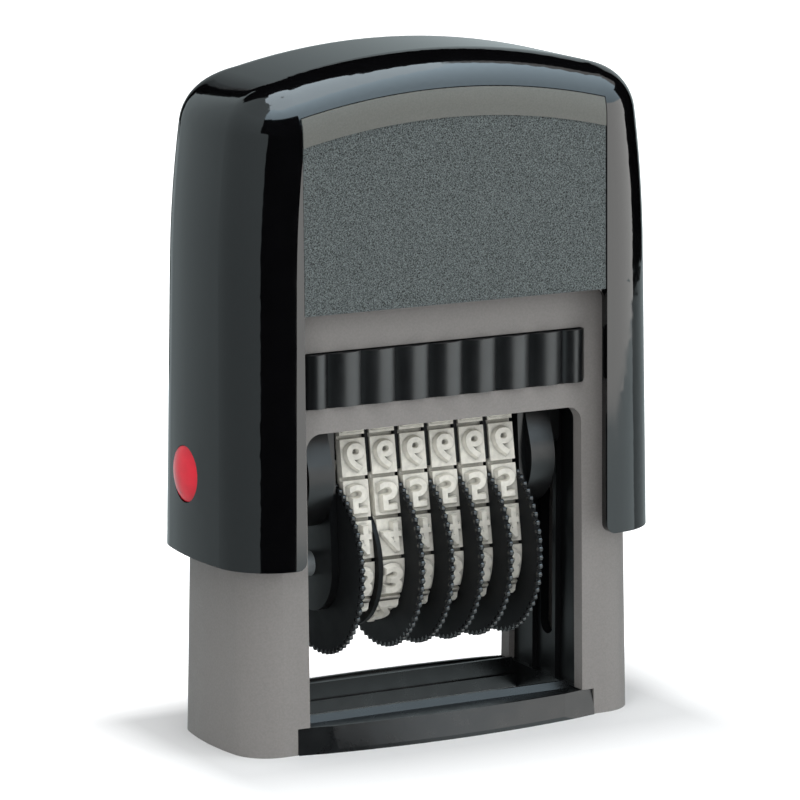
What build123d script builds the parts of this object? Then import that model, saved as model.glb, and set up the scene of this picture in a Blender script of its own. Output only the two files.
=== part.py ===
from build123d import *
import os
from math import asin, cos, degrees, pi, radians, sin, sqrt, tan

# Self-inking numbering machine, millimetres, standing on its base, front towards -Y.

# Fits
seat_gap = 0.05
running_gap = 0.05
panel_gap = 0.12
slot_gap = 0.15

# Travel of the cap and the flip-over carrier it brings down
stroke = 23.0
type_height = 10.0
axle_drop = 11.5
type_to_slot = 0.1
skirt_clearance = 1.0

# Number bands, wheels and the platen under the type
band_count = 6
band_pitch = 4.22
band_thickness = 1.3
band_side_gap = 0.06
band_wheel_radius = 7.4
band_corner = 1.6
band_half_depth = 4.2
type_relief = 0.7
cell_count = 14
cell_groove_width = 0.5
cell_groove_depth = 0.8
platen_rise = 2.5
platen_fin_thickness = 0.5
platen_fin_set_down = 0.3
platen_fin_gap = 0.3
disc_thickness = 0.6
disc_radius = 11.7
tooth_count = 64
tooth_depth = 0.5
spacer_radius = 8.4
spacer_plane = 1

# Type carrier
trunnion_radius = 1.5
axle_radius = 1.6
axle_end_radius = 1.3
axle_set_in = 0.4
cheek_gap = 0.14
lobe_thickness = 1.0
lobe_radius = 6.0
head_thickness = 3.4
head_radius = 6.6
head_rise = 8.0
head_half_depth = 4.6
head_top_round = 1.6
lug_thickness = 1.5
lug_rise = 1.5
lug_half_depth = 5.0
lug_round = 1.2

# Guide walls and the deck on top of them
carrier_side_gap = 1.3
guide_thickness = 1.2
guide_slot_width = 3.2
guide_rib_reach = 0.7
guide_rib_width = 0.8
guide_rib_y = 2.9
rail_width = 1.4
rail_height = 1.0
rail_gap = 0.1
deck_gap = 0.4
deck_thickness = 1.5
spring_peg_radius = 4.4
spring_peg_height = 1.6

# Bracket in the cap and the return spring under it
arm_gap = 0.5
arm_thickness = 1.5
arm_half_depth = 3.5
arm_slot_gap = 0.3
crossbar_set_down = 6.0
haunch_radius = 6.0
spring_radius = 5.4
spring_wire = 0.8
spring_turns = 5.5

# Casing: four walls round the mechanism
arm_room = 5.0
casing_half_depth = 10.5
casing_wall = 2.0
casing_draft = 1.2
casing_bulge = 1.5
casing_corner = 5.0
casing_rim = 4.9
rim_gap = 0.3
window_frame = 9.0
window_corner = 2.0
slot_frame = 8.6
slot_height = 7.0
slot_sill = 3.1
slot_corner = 0.6

# Base ring
base_height = 3.3
base_foot_height = 0.5
bar_end_gap = 0.1
bar_end_foot_reach = 0.4
bar_end_top_reach = 0.0
bar_mid_foot_reach = 2.3
bar_mid_top_reach = 1.3
bar_rim_width = 0.5
bar_shelf_drop = 0.25
mitre_length = 4.1
mitre_turn = 12.0
mitre_lean = 12.0
mouth_half_depth = 6.4
mouth_ledge_height = 1.7
mouth_ledge_width = 0.4
collar_width = 0.9
collar_rise = 0.6
collar_slope = 30.0

# Cap: an upturned shell with barrel sides and an arched, shouldered crown
cap_side_gap = 0.9
cap_front_gap = 1.5
cap_wall = 1.3
cap_draft = 0.9
cap_bulge = 2.0
cap_corner = 7.5
barrel_rise = 36.0
barrel_radius = 146.0
barrel_turn = 14.0
crown_room = 8.16
crown_radius = 86.0
crown_round = 6.5
shoulder_start_x = 22.4
shoulder_radius = 18.0
shoulder_turn = 66.0
leg_width = 9.4
opening_corner = 1.4
leg_corner = 1.2

# Panels let into the front and rear of the cap
panel_thickness = 0.7
panel_border = 4.15
strip_border = 7.8
panel_arch_ease = 4.0
field_depth = 0.15

# Ink cartridge
tray_gap = 1.0
tray_rear_room = 1.4
fascia_set_in = 0.8
fascia_thickness = 1.7
rib_count = 7
end_rib_share = 0.66
rib_bulge = 0.8
pad_side_wall = 2.3
pad_end_wall = 1.0
pad_roof = 1.6

# Lock buttons in the sides of the cap
button_y = 1.8
button_rise = 10.2
button_radius = 3.5
button_proud = 0.25
button_dome = 0.6
button_flange_reach = 0.7
button_flange_thickness = 0.35
button_bore_gap = 0.08

# Heights, from the desk up
pivot_z = stroke + type_height
axle_z = pivot_z - axle_drop
type_z = pivot_z + type_height
band_top_z = type_z - type_relief
platen_bottom_z = pivot_z + platen_rise
platen_fin_bottom_z = axle_z + disc_radius + platen_fin_gap
head_top_z = pivot_z + head_rise
lug_bottom_z = pivot_z + lug_rise
slot_bottom_z = type_z + type_to_slot
slot_top_z = slot_bottom_z + slot_height
window_top_z = slot_bottom_z - slot_sill
fascia_bottom_z = slot_bottom_z + slot_gap
fascia_top_z = slot_top_z - slot_gap
tray_bottom_z = fascia_bottom_z + slot_gap
tray_top_z = fascia_top_z - slot_gap
pad_face_z = type_z + slot_gap
pad_top_z = tray_top_z - pad_roof
rail_top_z = tray_bottom_z - rail_gap
deck_z = slot_top_z + deck_gap
deck_top_z = deck_z + deck_thickness
casing_height = slot_top_z + casing_rim
opening_top_z = casing_height + rim_gap
cap_skirt_z = stroke + skirt_clearance
barrel_z = cap_skirt_z + barrel_rise
cap_height = casing_height + stroke + crown_room
panel_arch_z = cap_height - panel_border
field_arch_z = cap_height - strip_border
crossbar_z = cap_height - crossbar_set_down
button_z = cap_skirt_z + button_rise

# Half widths, from the bands outwards
first_plane_x = -band_pitch * band_count / 2
band_width = band_pitch - disc_thickness - 2 * band_side_gap
cheek_inner_x = disc_thickness / 2 + cheek_gap - first_plane_x
head_outer_x = cheek_inner_x + lobe_thickness + head_thickness
lug_outer_x = head_outer_x + lug_thickness
axle_half_length = lug_outer_x - axle_set_in
guide_inner_x = lug_outer_x + carrier_side_gap
guide_outer_x = guide_inner_x + guide_thickness
rail_inner_x = guide_inner_x - rail_width
arm_inner_x = guide_outer_x + arm_gap
arm_outer_x = arm_inner_x + arm_thickness
casing_half_width = arm_outer_x + arm_room
window_half_width = casing_half_width - window_frame
slot_half_width = casing_half_width - slot_frame
fascia_half_width = slot_half_width - slot_gap
tray_half_width = guide_inner_x - tray_gap
pad_half_width = tray_half_width - pad_side_wall
mouth_half_width = window_half_width
cap_half_width = casing_half_width + cap_side_gap + cap_wall
opening_half_width = cap_half_width - leg_width
bar_half_width = opening_half_width - bar_end_gap
rib_pitch = 2 * fascia_half_width / (rib_count + 2 * end_rib_share)
button_crown_x = cap_half_width + button_proud
button_rim_x = button_crown_x - button_dome
button_flange_outer_x = cap_half_width - cap_wall
button_flange_inner_x = button_flange_outer_x - button_flange_thickness
button_flange_radius = button_radius + button_flange_reach

# Half depths, and the lines that bands and crown follow
cap_half_depth = casing_half_depth + cap_front_gap + cap_wall
swell_radius = (cap_half_depth**2 + cap_bulge**2) / (2 * cap_bulge)
swell_axis_x = cap_half_width - swell_radius
tray_rear_y = casing_half_depth - casing_wall - tray_rear_room
pad_half_depth = tray_rear_y - pad_end_wall
rib_valley_y = fascia_set_in - casing_half_depth
band_inner_radius = band_wheel_radius - band_thickness
drum_radius = band_inner_radius - running_gap
corner_centre_y = band_half_depth - band_corner
corner_centre_z = band_top_z - band_corner
head_corner_y = head_half_depth - head_top_round
dome_sphere = (button_radius**2 + button_dome**2) / (2 * button_dome)
panel_arch_radius = crown_radius + panel_arch_ease
shoulder_start = degrees(asin(shoulder_start_x / crown_radius))
beyond = cap_height


def rounded_plan(half_width, half_depth, bulge, corner):
    """Rounded rectangle whose two short sides swell outwards."""
    side = half_width - bulge
    with BuildSketch(mode=Mode.PRIVATE) as plan:
        with BuildLine():
            Line((-side, -half_depth), (side, -half_depth))
            ThreePointArc((side, -half_depth), (half_width, 0), (side, half_depth))
            Line((side, half_depth), (-side, half_depth))
            ThreePointArc((-side, half_depth), (-half_width, 0), (-side, -half_depth))
        make_face()
        fillet(plan.vertices(), radius=corner)
    return plan.sketch


def crown_profile(inset, bottom_z):
    """Upright outline of the cap: a flat arch that turns down over a shoulder at each end."""
    reach = crown_radius - shoulder_radius
    centre_x = reach * sin(radians(shoulder_start))
    centre_z = cap_height - crown_radius + reach * cos(radians(shoulder_start))
    radius = shoulder_radius - inset
    end_x = centre_x + radius * sin(radians(shoulder_turn))
    end_z = centre_z + radius * cos(radians(shoulder_turn))
    outer_x = cap_half_width + crown_round
    outer_z = end_z - (outer_x - end_x) * tan(radians(shoulder_turn))
    sweep_angle = shoulder_turn - shoulder_start
    with BuildSketch(mode=Mode.PRIVATE) as profile:
        with BuildLine():
            CenterArc((0, cap_height - crown_radius), crown_radius - inset, 90 - shoulder_start,
                      2 * shoulder_start)
            CenterArc((centre_x, centre_z), radius, 90 - shoulder_turn, sweep_angle)
            CenterArc((-centre_x, centre_z), radius, 90 + shoulder_start, sweep_angle)
            Polyline((-end_x, end_z), (-outer_x, outer_z), (-outer_x, bottom_z), (outer_x, bottom_z),
                     (outer_x, outer_z), (end_x, end_z))
        make_face()
    return profile.sketch


def cap_side(inset, floor_z):
    """Body of revolution whose outside is the swelling right-hand side of the cap."""
    lean = radians(cap_draft)
    middle = (lean + radians(barrel_turn)) / 2
    radius = barrel_radius - inset
    barrel_x = cap_half_width - barrel_rise * tan(lean) - inset / cos(lean)
    foot_x = barrel_x + (barrel_z - floor_z) * tan(lean)
    centre_x = barrel_x - radius * cos(lean)
    centre_z = barrel_z - radius * sin(lean)
    top_x = centre_x + radius * cos(radians(barrel_turn))
    top_z = centre_z + radius * sin(radians(barrel_turn))
    with BuildPart(mode=Mode.PRIVATE) as side:
        with BuildSketch(Plane.XZ):
            with BuildLine():
                Line((foot_x, floor_z), (barrel_x, barrel_z))
                ThreePointArc((barrel_x, barrel_z),
                              (centre_x + radius * cos(middle), centre_z + radius * sin(middle)), (top_x, top_z))
                Polyline((top_x, top_z), (swell_axis_x, top_z), (swell_axis_x, floor_z), (foot_x, floor_z))
            make_face()
        revolve(axis=Axis((swell_axis_x, 0, 0), (0, 0, 1)))
    return side.part


def cap_form(inset, floor_z):
    """Solid form of the cap, shrunk by the inset, from a floor up to the rounded crown."""
    side = cap_side(inset, floor_z)
    face_y = cap_half_depth - inset
    foot_y = face_y + (cap_skirt_z - floor_z) * tan(radians(cap_draft))
    top_z = side.bounding_box().max.Z
    top_y = face_y - (top_z - cap_skirt_z) * tan(radians(cap_draft))
    with BuildPart(mode=Mode.PRIVATE) as form:
        with BuildSketch(Plane.YZ):
            Polygon((-foot_y, floor_z), (foot_y, floor_z), (top_y, top_z), (-top_y, top_z), align=None)
        extrude(amount=cap_half_width + crown_round, both=True)
        add(side, mode=Mode.INTERSECT)
        mirror(side, about=Plane.YZ, mode=Mode.INTERSECT)
        uprights = form.edges().filter_by(lambda e: abs((e @ 0).Z - (e @ 1).Z) > cap_corner)
        fillet(uprights.filter_by(lambda e: abs(e.center().Y) > face_y / 2), radius=cap_corner - inset)
        with BuildSketch(Plane.XZ):
            add(crown_profile(inset, floor_z))
        extrude(amount=cap_half_depth + crown_round, both=True, mode=Mode.INTERSECT)
        crown = form.faces().filter_by(lambda f: f.normal_at().Z > cos(radians(shoulder_turn)))
        fillet(crown.edges().filter_by(Axis.Y, reverse=True), radius=crown_round - inset)
    return form.part


def arch_zone(half_width, bottom_z, apex_z, radius):
    """Upright zone with straight sides and an arched top."""
    shoulder_z = apex_z - radius + sqrt(radius**2 - half_width**2)
    with BuildSketch(mode=Mode.PRIVATE) as zone:
        with BuildLine():
            Line((-half_width, shoulder_z), (-half_width, bottom_z))
            Line((-half_width, bottom_z), (half_width, bottom_z))
            Line((half_width, bottom_z), (half_width, shoulder_z))
            ThreePointArc((half_width, shoulder_z), (0, apex_z), (-half_width, shoulder_z))
        make_face()
    return zone.sketch


def casing_form(inset, floor_z, height):
    """Solid form of the casing, shrunk by the inset."""
    spread = -floor_z * tan(radians(casing_draft)) - inset
    plan = rounded_plan(casing_half_width + spread, casing_half_depth + spread, casing_bulge,
                        casing_corner - inset)
    with BuildPart(mode=Mode.PRIVATE) as form:
        with BuildSketch(Plane.XY.offset(floor_z)):
            add(plan)
        extrude(amount=height, taper=casing_draft)
    return form.part


def front_skin(zone, core):
    """Layer of the cap's front face outside a core, as far as the upright zone reaches."""
    with BuildPart(mode=Mode.PRIVATE) as skin:
        with BuildSketch(Plane.XZ):
            add(zone)
        extrude(amount=cap_half_depth + crown_round)
        add(core, mode=Mode.SUBTRACT)
    return skin.part


def bar_plan(end_reach, mid_reach, trim):
    """Plan of both bowed base bars together, their fronts drawn in by the trim."""
    end_y = casing_half_depth + end_reach - trim
    mid_y = casing_half_depth + mid_reach - trim
    end_x = bar_half_width - seat_gap
    with BuildSketch(mode=Mode.PRIVATE) as plan:
        with BuildLine():
            Line((-end_x, end_y), (-end_x, -end_y))
            ThreePointArc((-end_x, -end_y), (0, -mid_y), (end_x, -end_y))
            Line((end_x, -end_y), (end_x, end_y))
            ThreePointArc((end_x, end_y), (0, mid_y), (-end_x, end_y))
        make_face()
    return plan.sketch


def band_loop(wheel_radius, corner_radius):
    """Closed line of a band, round its wheel and over the two corners of the platen."""
    with BuildSketch(mode=Mode.PRIVATE) as loop:
        with BuildLine():
            CenterArc((0, axle_z), wheel_radius, 0, 360)
            CenterArc((corner_centre_y, corner_centre_z), corner_radius, 0, 360)
            CenterArc((-corner_centre_y, corner_centre_z), corner_radius, 0, 360)
        make_hull()
    return loop.sketch


def band_run(distance):
    """Place and heading on the outside of a band, measured along it from the middle of the type face."""
    span = sqrt(corner_centre_y**2 + (corner_centre_z - axle_z)**2)
    slope = asin((band_wheel_radius - band_corner) / span) - asin(corner_centre_y / span)
    flat = corner_centre_y
    corner_turn = pi / 2 - slope
    bend = band_corner * corner_turn
    straight = sqrt(span**2 - (band_wheel_radius - band_corner)**2)
    if distance < flat:
        return distance, band_top_z, 0.0
    if distance < flat + bend:
        turn = (distance - flat) / band_corner
        return corner_centre_y + band_corner * sin(turn), corner_centre_z + band_corner * cos(turn), -turn
    if distance < flat + bend + straight:
        along = distance - flat - bend
        start_y = corner_centre_y + band_corner * sin(corner_turn)
        start_z = corner_centre_z + band_corner * cos(corner_turn)
        return start_y + along * cos(corner_turn), start_z - along * sin(corner_turn), -corner_turn
    turn = corner_turn + (distance - flat - bend - straight) / band_wheel_radius
    return band_wheel_radius * sin(turn), axle_z + band_wheel_radius * cos(turn), -turn


def toothed_disc():
    """Thumb wheel outline with a ring of fine teeth."""
    root_radius = disc_radius - tooth_depth
    step = 2 * pi / tooth_count
    outline = []
    for tooth in range(tooth_count):
        middle = tooth * step
        outline.append((root_radius * cos(middle - step / 2), root_radius * sin(middle - step / 2)))
        outline.append((disc_radius * cos(middle), disc_radius * sin(middle)))
    with BuildSketch(mode=Mode.PRIVATE) as disc:
        with BuildLine():
            Polyline(*outline, close=True)
        make_face()
    return disc.sketch


cap_outer = cap_form(0, cap_skirt_z)
cap_inner = cap_form(cap_wall, cap_skirt_z - crown_round)
panel_back = cap_form(panel_thickness, cap_skirt_z)
field_face = cap_form(field_depth, cap_skirt_z)
recess_zone = arch_zone(opening_half_width, opening_top_z - crown_round, panel_arch_z, panel_arch_radius)
panel_zone = arch_zone(opening_half_width - panel_gap, opening_top_z, panel_arch_z - panel_gap,
                       panel_arch_radius)
field_zone = arch_zone(opening_half_width, opening_top_z - crown_round, field_arch_z, panel_arch_radius)
panel_recess = front_skin(recess_zone, panel_back)
panel_blank = front_skin(panel_zone, panel_back)
field_skin = front_skin(field_zone, field_face)
casing_outer = casing_form(0, 0, casing_height)
casing_inner = casing_form(casing_wall, -casing_wall, casing_height + 2 * casing_wall)
casing_fill = casing_form(casing_wall + seat_gap, 0, casing_height)
cap_clearance = cap_form(cap_wall + seat_gap + rim_gap, 0).moved(Location((0, 0, -stroke)))

# Cap shell with the openings between its legs, the panel recesses and the button bores
with BuildPart() as cap_shell:
    add(cap_outer)
    add(cap_inner, mode=Mode.SUBTRACT)
    with BuildSketch(Plane.XZ) as leg_opening:
        with Locations((0, opening_top_z / 2)):
            Rectangle(2 * opening_half_width, opening_top_z)
        with Locations((0, cap_skirt_z / 2)):
            Rectangle(2 * cap_half_width + crown_round, cap_skirt_z)
        opening_corners = leg_opening.vertices().filter_by(lambda v: abs(v.X) < opening_half_width + seat_gap)
        fillet(opening_corners.group_by(Axis.Y)[-1], radius=opening_corner)
        leg_corners = leg_opening.vertices().filter_by(lambda v: abs(v.X) < opening_half_width + seat_gap)
        fillet(leg_corners.group_by(Axis.Y)[0], radius=leg_corner)
    extrude(amount=cap_half_depth + crown_round, both=True, mode=Mode.SUBTRACT)
    add(panel_recess, mode=Mode.SUBTRACT)
    mirror(panel_recess, about=Plane.XZ, mode=Mode.SUBTRACT)
    with BuildSketch(Plane.YZ):
        with Locations((button_y, button_z)):
            Circle(button_radius + button_bore_gap)
    extrude(amount=cap_half_width + crown_round, both=True, mode=Mode.SUBTRACT)
    with BuildSketch(Plane.YZ):
        with Locations((button_y, button_z)):
            Circle(button_flange_radius + button_bore_gap)
    extrude(amount=button_flange_outer_x + seat_gap, both=True, mode=Mode.SUBTRACT)
cap_shell.part.label = "cap_shell"

# Front panel: a textured field below a smooth arched strip
with BuildPart() as front_panel:
    add(panel_blank)
    add(cap_outer, mode=Mode.INTERSECT)
    add(field_skin, mode=Mode.SUBTRACT)
front_panel.part.label = "front_panel"

with BuildPart() as rear_panel:
    mirror(front_panel.part, about=Plane.XZ)
rear_panel.part.label = "rear_panel"

# Bracket: a stirrup under the crown whose arms carry the pivot
with BuildPart() as bracket:
    with BuildSketch(Plane.XZ):
        with Locations((0, (cap_height + pivot_z) / 2)):
            Rectangle(2 * arm_outer_x, cap_height - pivot_z)
        with BuildSketch(mode=Mode.PRIVATE) as stirrup_bay:
            with Locations((0, (crossbar_z + pivot_z) / 2)):
                Rectangle(2 * arm_inner_x, crossbar_z - pivot_z)
            fillet(stirrup_bay.vertices().group_by(Axis.Y)[-1], radius=haunch_radius)
        add(stirrup_bay.sketch, mode=Mode.SUBTRACT)
    extrude(amount=arm_half_depth, both=True)
    with BuildSketch(Plane.YZ.offset(arm_inner_x)):
        with Locations((0, pivot_z)):
            Circle(arm_half_depth)
    arm_foot = extrude(amount=arm_thickness)
    mirror(arm_foot, about=Plane.YZ)
    with BuildSketch(Plane.YZ):
        with Locations((0, pivot_z)):
            Circle(trunnion_radius + running_gap)
    extrude(amount=arm_outer_x, both=True, mode=Mode.SUBTRACT)
    with BuildSketch(Plane.XY.offset(crossbar_z)):
        Circle(spring_peg_radius + spring_wire * 2)
    extrude(amount=cap_height - crossbar_z)
    with BuildSketch(Plane.XY.offset(crossbar_z - spring_peg_height)):
        Circle(spring_peg_radius)
    extrude(amount=spring_peg_height)
    add(cap_inner, mode=Mode.INTERSECT)
bracket.part.label = "bracket"

# Casing with its windows, the cartridge slot, the bar notches and a rim shaped to the pressed cap
with BuildPart() as casing:
    add(casing_outer)
    add(casing_inner, mode=Mode.SUBTRACT)
    add(cap_clearance, mode=Mode.INTERSECT)
    with BuildSketch(Plane.XZ) as window:
        with Locations((0, (window_top_z + base_height) / 2)):
            Rectangle(2 * window_half_width, window_top_z - base_height)
        fillet(window.vertices().group_by(Axis.Y)[-1], radius=window_corner)
    extrude(amount=beyond, both=True, mode=Mode.SUBTRACT)
    with BuildSketch(Plane.XZ):
        with Locations((0, base_height / 2)):
            Rectangle(2 * bar_half_width, base_height)
    extrude(amount=beyond, both=True, mode=Mode.SUBTRACT)
    with BuildSketch(Plane.XZ) as cartridge_slot:
        with Locations((0, (slot_top_z + slot_bottom_z) / 2)):
            RectangleRounded(2 * slot_half_width, slot_top_z - slot_bottom_z, slot_corner)
    extrude(amount=beyond, mode=Mode.SUBTRACT)
casing.part.label = "casing"

# Base ring: bowed bars with mitred ends under both windows, joined round the print mouth and its collar
with BuildPart() as base_ring:
    with BuildSketch(Plane.XY):
        add(bar_plan(bar_end_foot_reach, bar_mid_foot_reach, 0))
    extrude(amount=base_foot_height)
    with BuildSketch(Plane.XY.offset(base_foot_height)):
        add(bar_plan(bar_end_foot_reach, bar_mid_foot_reach, 0))
    with BuildSketch(Plane.XY.offset(base_height)):
        add(bar_plan(bar_end_top_reach, bar_mid_top_reach, 0))
    loft(ruled=True)
    for side_x in (-1, 1):
        for side_y in (-1, 1):
            mitre_start = (side_x * (bar_half_width - mitre_length),
                           side_y * (casing_half_depth + bar_end_foot_reach), base_height)
            mitre_facing = Vector(side_x * sin(radians(mitre_turn)), side_y * cos(radians(mitre_turn)),
                                  sin(radians(mitre_lean)))
            split(bisect_by=Plane(origin=mitre_start, z_dir=mitre_facing), keep=Keep.BOTTOM)
    with BuildSketch(Plane.XY.offset(base_height - bar_shelf_drop)):
        add(bar_plan(bar_end_top_reach, bar_mid_top_reach, bar_rim_width))
        Rectangle(2 * window_half_width, beyond, mode=Mode.INTERSECT)
    extrude(amount=bar_shelf_drop, mode=Mode.SUBTRACT)
    with BuildSketch(Plane.XY):
        Rectangle(2 * casing_half_width, 2 * casing_half_depth)
    base_slab = extrude(amount=base_height - bar_shelf_drop, mode=Mode.PRIVATE)
    add(casing_fill & base_slab)
    with BuildSketch(Plane.XY.offset(base_height - bar_shelf_drop)):
        Rectangle(2 * mouth_half_width, 2 * (mouth_half_depth + mouth_ledge_width + collar_width))
    extrude(amount=bar_shelf_drop + collar_rise, taper=collar_slope)
    with BuildSketch(Plane.XY):
        Rectangle(2 * mouth_half_width, 2 * mouth_half_depth)
    extrude(amount=base_height + collar_rise, mode=Mode.SUBTRACT)
    with BuildSketch(Plane.XY.offset(mouth_ledge_height)):
        Rectangle(2 * mouth_half_width, 2 * (mouth_half_depth + mouth_ledge_width))
    extrude(amount=base_height + collar_rise - mouth_ledge_height, mode=Mode.SUBTRACT)
base_ring.part.label = "base_ring"

# Guide walls: each slotted for the trunnion, with a rail for the cartridge
with BuildPart() as guide_right:
    with BuildSketch(Plane.YZ.offset(guide_inner_x)):
        with Locations((0, (base_height + deck_z) / 2)):
            Rectangle(2 * casing_half_depth, deck_z - base_height)
    extrude(amount=guide_thickness)
    with BuildSketch(Plane.YZ.offset(guide_inner_x)):
        for side in (-1, 1):
            with Locations((side * guide_rib_y, (base_height + window_top_z) / 2)):
                Rectangle(guide_rib_width, window_top_z - base_height)
    extrude(amount=-guide_rib_reach)
    with BuildSketch(Plane.YZ.offset(rail_inner_x)):
        with Locations((0, rail_top_z - rail_height / 2)):
            Rectangle(2 * casing_half_depth, rail_height)
    extrude(amount=guide_inner_x - rail_inner_x)
    with BuildSketch(Plane.YZ):
        slot_top = pivot_z + guide_slot_width / 2
        slot_bottom = pivot_z - stroke - guide_slot_width / 2
        with Locations(Location((0, (slot_top + slot_bottom) / 2), 90)):
            SlotOverall(slot_top - slot_bottom, guide_slot_width)
    extrude(amount=guide_outer_x, mode=Mode.SUBTRACT)
    add(casing_fill, mode=Mode.INTERSECT)
guide_right.part.label = "guide_right"

with BuildPart() as guide_left:
    mirror(guide_right.part, about=Plane.YZ)
guide_left.part.label = "guide_left"

# Deck under the return spring, slotted for the bracket arms
with BuildPart() as deck:
    with BuildSketch(Plane.XY.offset(deck_z)):
        Rectangle(2 * casing_half_width, 2 * casing_half_depth)
    extrude(amount=deck_thickness)
    add(casing_fill, mode=Mode.INTERSECT)
    with BuildSketch(Plane.XY.offset(deck_z)):
        for side in (-1, 1):
            with Locations((side * (arm_inner_x + arm_outer_x) / 2, 0)):
                Rectangle(arm_thickness + 2 * arm_slot_gap, 2 * (arm_half_depth + arm_slot_gap))
    extrude(amount=deck_thickness, mode=Mode.SUBTRACT)
    with BuildSketch(Plane.XY.offset(deck_top_z)):
        Circle(spring_peg_radius)
    extrude(amount=spring_peg_height)
deck.part.label = "deck"

# Return spring between the deck and the bracket
spring_length = crossbar_z - deck_top_z
with BuildPart() as return_spring:
    with BuildLine(Plane.XY.offset(deck_top_z + spring_wire / 2)) as coil:
        Helix(pitch=(spring_length - spring_wire) / spring_turns, height=spring_length - spring_wire,
              radius=spring_radius)
    with BuildSketch(Plane(origin=coil.line @ 0, x_dir=(0, 0, 1), z_dir=coil.line % 0)):
        Rectangle(spring_wire, spring_wire)
    sweep(is_frenet=True)
return_spring.part.label = "return_spring"

# Carrier cheeks: a lobe round the wheel axle, a heavy head round the pivot, a lug and a trunnion
with BuildPart() as cheek_right:
    with BuildSketch(Plane.YZ.offset(cheek_inner_x)):
        with BuildLine():
            CenterArc((0, axle_z), lobe_radius, 0, 360)
            for side in (-1, 1):
                CenterArc((side * head_corner_y, head_top_z - head_top_round), head_top_round, 0, 360)
        make_hull()
    extrude(amount=lobe_thickness)
    with BuildSketch(Plane.YZ.offset(cheek_inner_x + lobe_thickness)):
        with BuildLine():
            CenterArc((0, pivot_z), head_radius, 0, 360)
            for side in (-1, 1):
                CenterArc((side * head_corner_y, head_top_z - head_top_round), head_top_round, 0, 360)
        make_hull()
    extrude(amount=head_outer_x - cheek_inner_x - lobe_thickness)
    with BuildSketch(Plane.YZ.offset(head_outer_x)):
        with Locations((0, (lug_bottom_z + head_top_z) / 2)):
            RectangleRounded(2 * lug_half_depth, head_top_z - lug_bottom_z, lug_round)
    extrude(amount=lug_outer_x - head_outer_x)
    with BuildSketch(Plane.YZ.offset(head_outer_x)):
        with Locations((0, pivot_z)):
            Circle(trunnion_radius)
    extrude(amount=arm_outer_x - head_outer_x)
    with BuildSketch(Plane.YZ.offset(cheek_inner_x)):
        with Locations((0, axle_z)):
            Circle(axle_radius)
    extrude(amount=lobe_thickness, mode=Mode.SUBTRACT)
cheek_right.part.label = "cheek_right"

with BuildPart() as cheek_left:
    mirror(cheek_right.part, about=Plane.YZ)
cheek_left.part.label = "cheek_left"

# Axle through all the wheels, tapered at both ends
with BuildPart() as wheel_axle:
    with BuildSketch(Plane.XZ):
        with BuildLine():
            taper_x = cheek_inner_x + lobe_thickness
            Polyline((-axle_half_length, axle_z), (-axle_half_length, axle_z + axle_end_radius),
                     (-taper_x, axle_z + axle_radius), (taper_x, axle_z + axle_radius),
                     (axle_half_length, axle_z + axle_end_radius), (axle_half_length, axle_z), close=True)
        make_face()
    revolve(axis=Axis((0, 0, axle_z), (1, 0, 0)))
wheel_axle.part.label = "wheel_axle"

# Platen that backs the type, with a fin between neighbouring bands
band_outside = band_loop(band_wheel_radius, band_corner)
band_inside = band_loop(band_inner_radius, band_corner - band_thickness)
platen_outline = band_loop(band_inner_radius - running_gap, band_corner - band_thickness - running_gap)
fin_outline = band_loop(band_wheel_radius - platen_fin_set_down, band_corner - platen_fin_set_down)
with BuildPart() as platen:
    with BuildSketch(Plane.YZ.offset(-cheek_inner_x)):
        add(platen_outline)
        with Locations((0, platen_bottom_z - beyond / 2)):
            Rectangle(beyond, beyond, mode=Mode.SUBTRACT)
    extrude(amount=2 * cheek_inner_x)
    with BuildSketch(Plane.YZ):
        add(fin_outline)
        with Locations((0, platen_fin_bottom_z - beyond / 2)):
            Rectangle(beyond, beyond, mode=Mode.SUBTRACT)
    fin = extrude(amount=platen_fin_thickness / 2, both=True, mode=Mode.PRIVATE)
    with Locations([(first_plane_x + plane * band_pitch, 0, 0) for plane in range(1, band_count)]):
        add(fin)
platen.part.label = "platen"

# Smooth spacer between the first two bands
with BuildPart() as spacer_disc:
    with BuildSketch(Plane.YZ.offset(first_plane_x + spacer_plane * band_pitch)):
        with Locations((0, axle_z)):
            Circle(spacer_radius)
            Circle(axle_radius, mode=Mode.SUBTRACT)
    extrude(amount=disc_thickness / 2, both=True)
spacer_disc.part.label = "spacer_disc"

# Number bands: endless rubber loops parted into type cells
cell_pitch = band_outside.wire().length / cell_count
with BuildSketch(mode=Mode.PRIVATE) as band_side:
    add(band_outside)
    add(band_inside, mode=Mode.SUBTRACT)
    for cell in range((cell_count + 1) // 2):
        run_y, run_z, heading = band_run((cell + 0.5) * cell_pitch)
        for side in (-1, 1):
            with Locations(Location((side * run_y, run_z), side * degrees(heading))):
                Rectangle(cell_groove_width, 2 * cell_groove_depth, mode=Mode.SUBTRACT)

bands = []
for number in range(band_count):
    with BuildPart() as band:
        with BuildSketch(Plane.YZ.offset(first_plane_x + (number + 0.5) * band_pitch)):
            add(band_side.sketch)
        extrude(amount=band_width / 2, both=True)
    band.part.label = f"band_{number + 1}"
    bands.append(band.part)

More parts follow.
